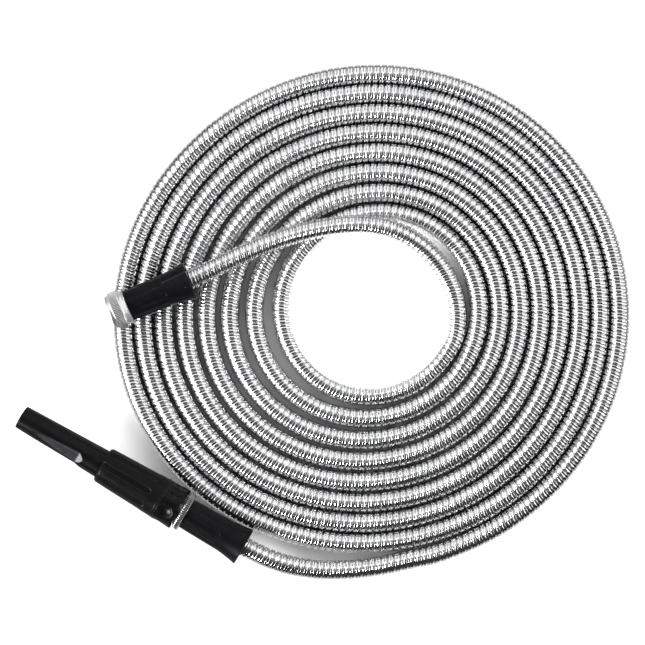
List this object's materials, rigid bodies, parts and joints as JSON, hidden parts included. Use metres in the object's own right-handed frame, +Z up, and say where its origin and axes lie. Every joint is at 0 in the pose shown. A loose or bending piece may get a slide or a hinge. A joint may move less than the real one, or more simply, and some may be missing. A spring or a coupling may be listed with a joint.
{
  "type": "coiled garden hose with twist nozzle",
  "caption": "Flat-coiled strip-wound steel garden hose with a swivel tap nut, strain-relief sleeves and a black twist nozzle.",
  "frame": {"origin": "on the floor under the middle of the whole object's box", "axes": "+Z up from the floor; +X along the longest extent, from the nozzle's tip side to the far side of the coil"},
  "size_m": [0.5072, 0.4267, 0.0484],
  "materials": {
    "steel_hose": "bright polished strip",
    "aluminium_fitting": "machined and knurled",
    "black_plastic": "satin moulded",
    "sleeve_plastic": "fine moulded",
    "grip_rubber": "soft satin",
    "seal_rubber": "smooth",
    "liner_plastic": "milky",
    "brass_valve": "machined",
    "spring_steel": "ground"
  },
  "bodies": {
    "hose": {"hose_coil": "steel_hose", "hose_tap_lead": "steel_hose", "hose_nozzle_lead": "steel_hose", "tap_liner_end": "liner_plastic", "nozzle_liner_end": "liner_plastic", "tap_coupling": "aluminium_fitting", "tap_ferrule": "aluminium_fitting", "tap_sleeve": "sleeve_plastic", "male_coupling": "aluminium_fitting", "nozzle_ferrule": "aluminium_fitting", "nozzle_sleeve": "sleeve_plastic"},
    "tap_nut": {"tap_nut": "aluminium_fitting", "tap_washer": "seal_rubber"},
    "inlet_washer": {"inlet_washer": "seal_rubber"},
    "nozzle_base": {"nozzle_base": "black_plastic", "valve_stem": "brass_valve", "stem_seal": "seal_rubber", "stop_ring": "spring_steel", "cone_seal": "seal_rubber"},
    "barrel_seal": {"barrel_seal": "seal_rubber"},
    "barrel": {"barrel": "black_plastic", "grip_sleeve": "grip_rubber", "jet_insert": "brass_valve"}
  },
  "joints": [
    {"name": "tap_nut_spin", "type": "hinge", "parent": "hose", "child": "tap_nut", "pos_m": [-0.16733, 0.00977, 0.0323], "axis": [-0.9241, -0.382, 0], "continuous": true},
    {"name": "washer_travel", "type": "slide", "parent": "hose", "child": "inlet_washer", "axis": [-0.8634, 0.5045, 0], "range_m": [0, 0.009]},
    {"name": "nozzle_unscrew", "type": "hinge", "parent": "inlet_washer", "child": "nozzle_base", "pos_m": [-0.1263, -0.14974, 0.01775], "axis": [-0.8634, 0.5045, 0], "range_deg": [0, 1440]},
    {"name": "seal_travel", "type": "slide", "parent": "nozzle_base", "child": "barrel_seal", "axis": [-0.8634, 0.5045, 0], "range_m": [0, 0.0073]},
    {"name": "barrel_twist", "type": "hinge", "parent": "barrel_seal", "child": "barrel", "pos_m": [-0.15824, -0.13107, 0.01775], "axis": [-0.8634, 0.5045, 0], "range_deg": [0, 540]}
  ],
  "couplings": [
    {"joint": "washer_travel", "follows": "nozzle_unscrew", "m_per_rad": 0.00035157},
    {"joint": "seal_travel", "follows": "barrel_twist", "m_per_rad": 0.00076394}
  ]
}
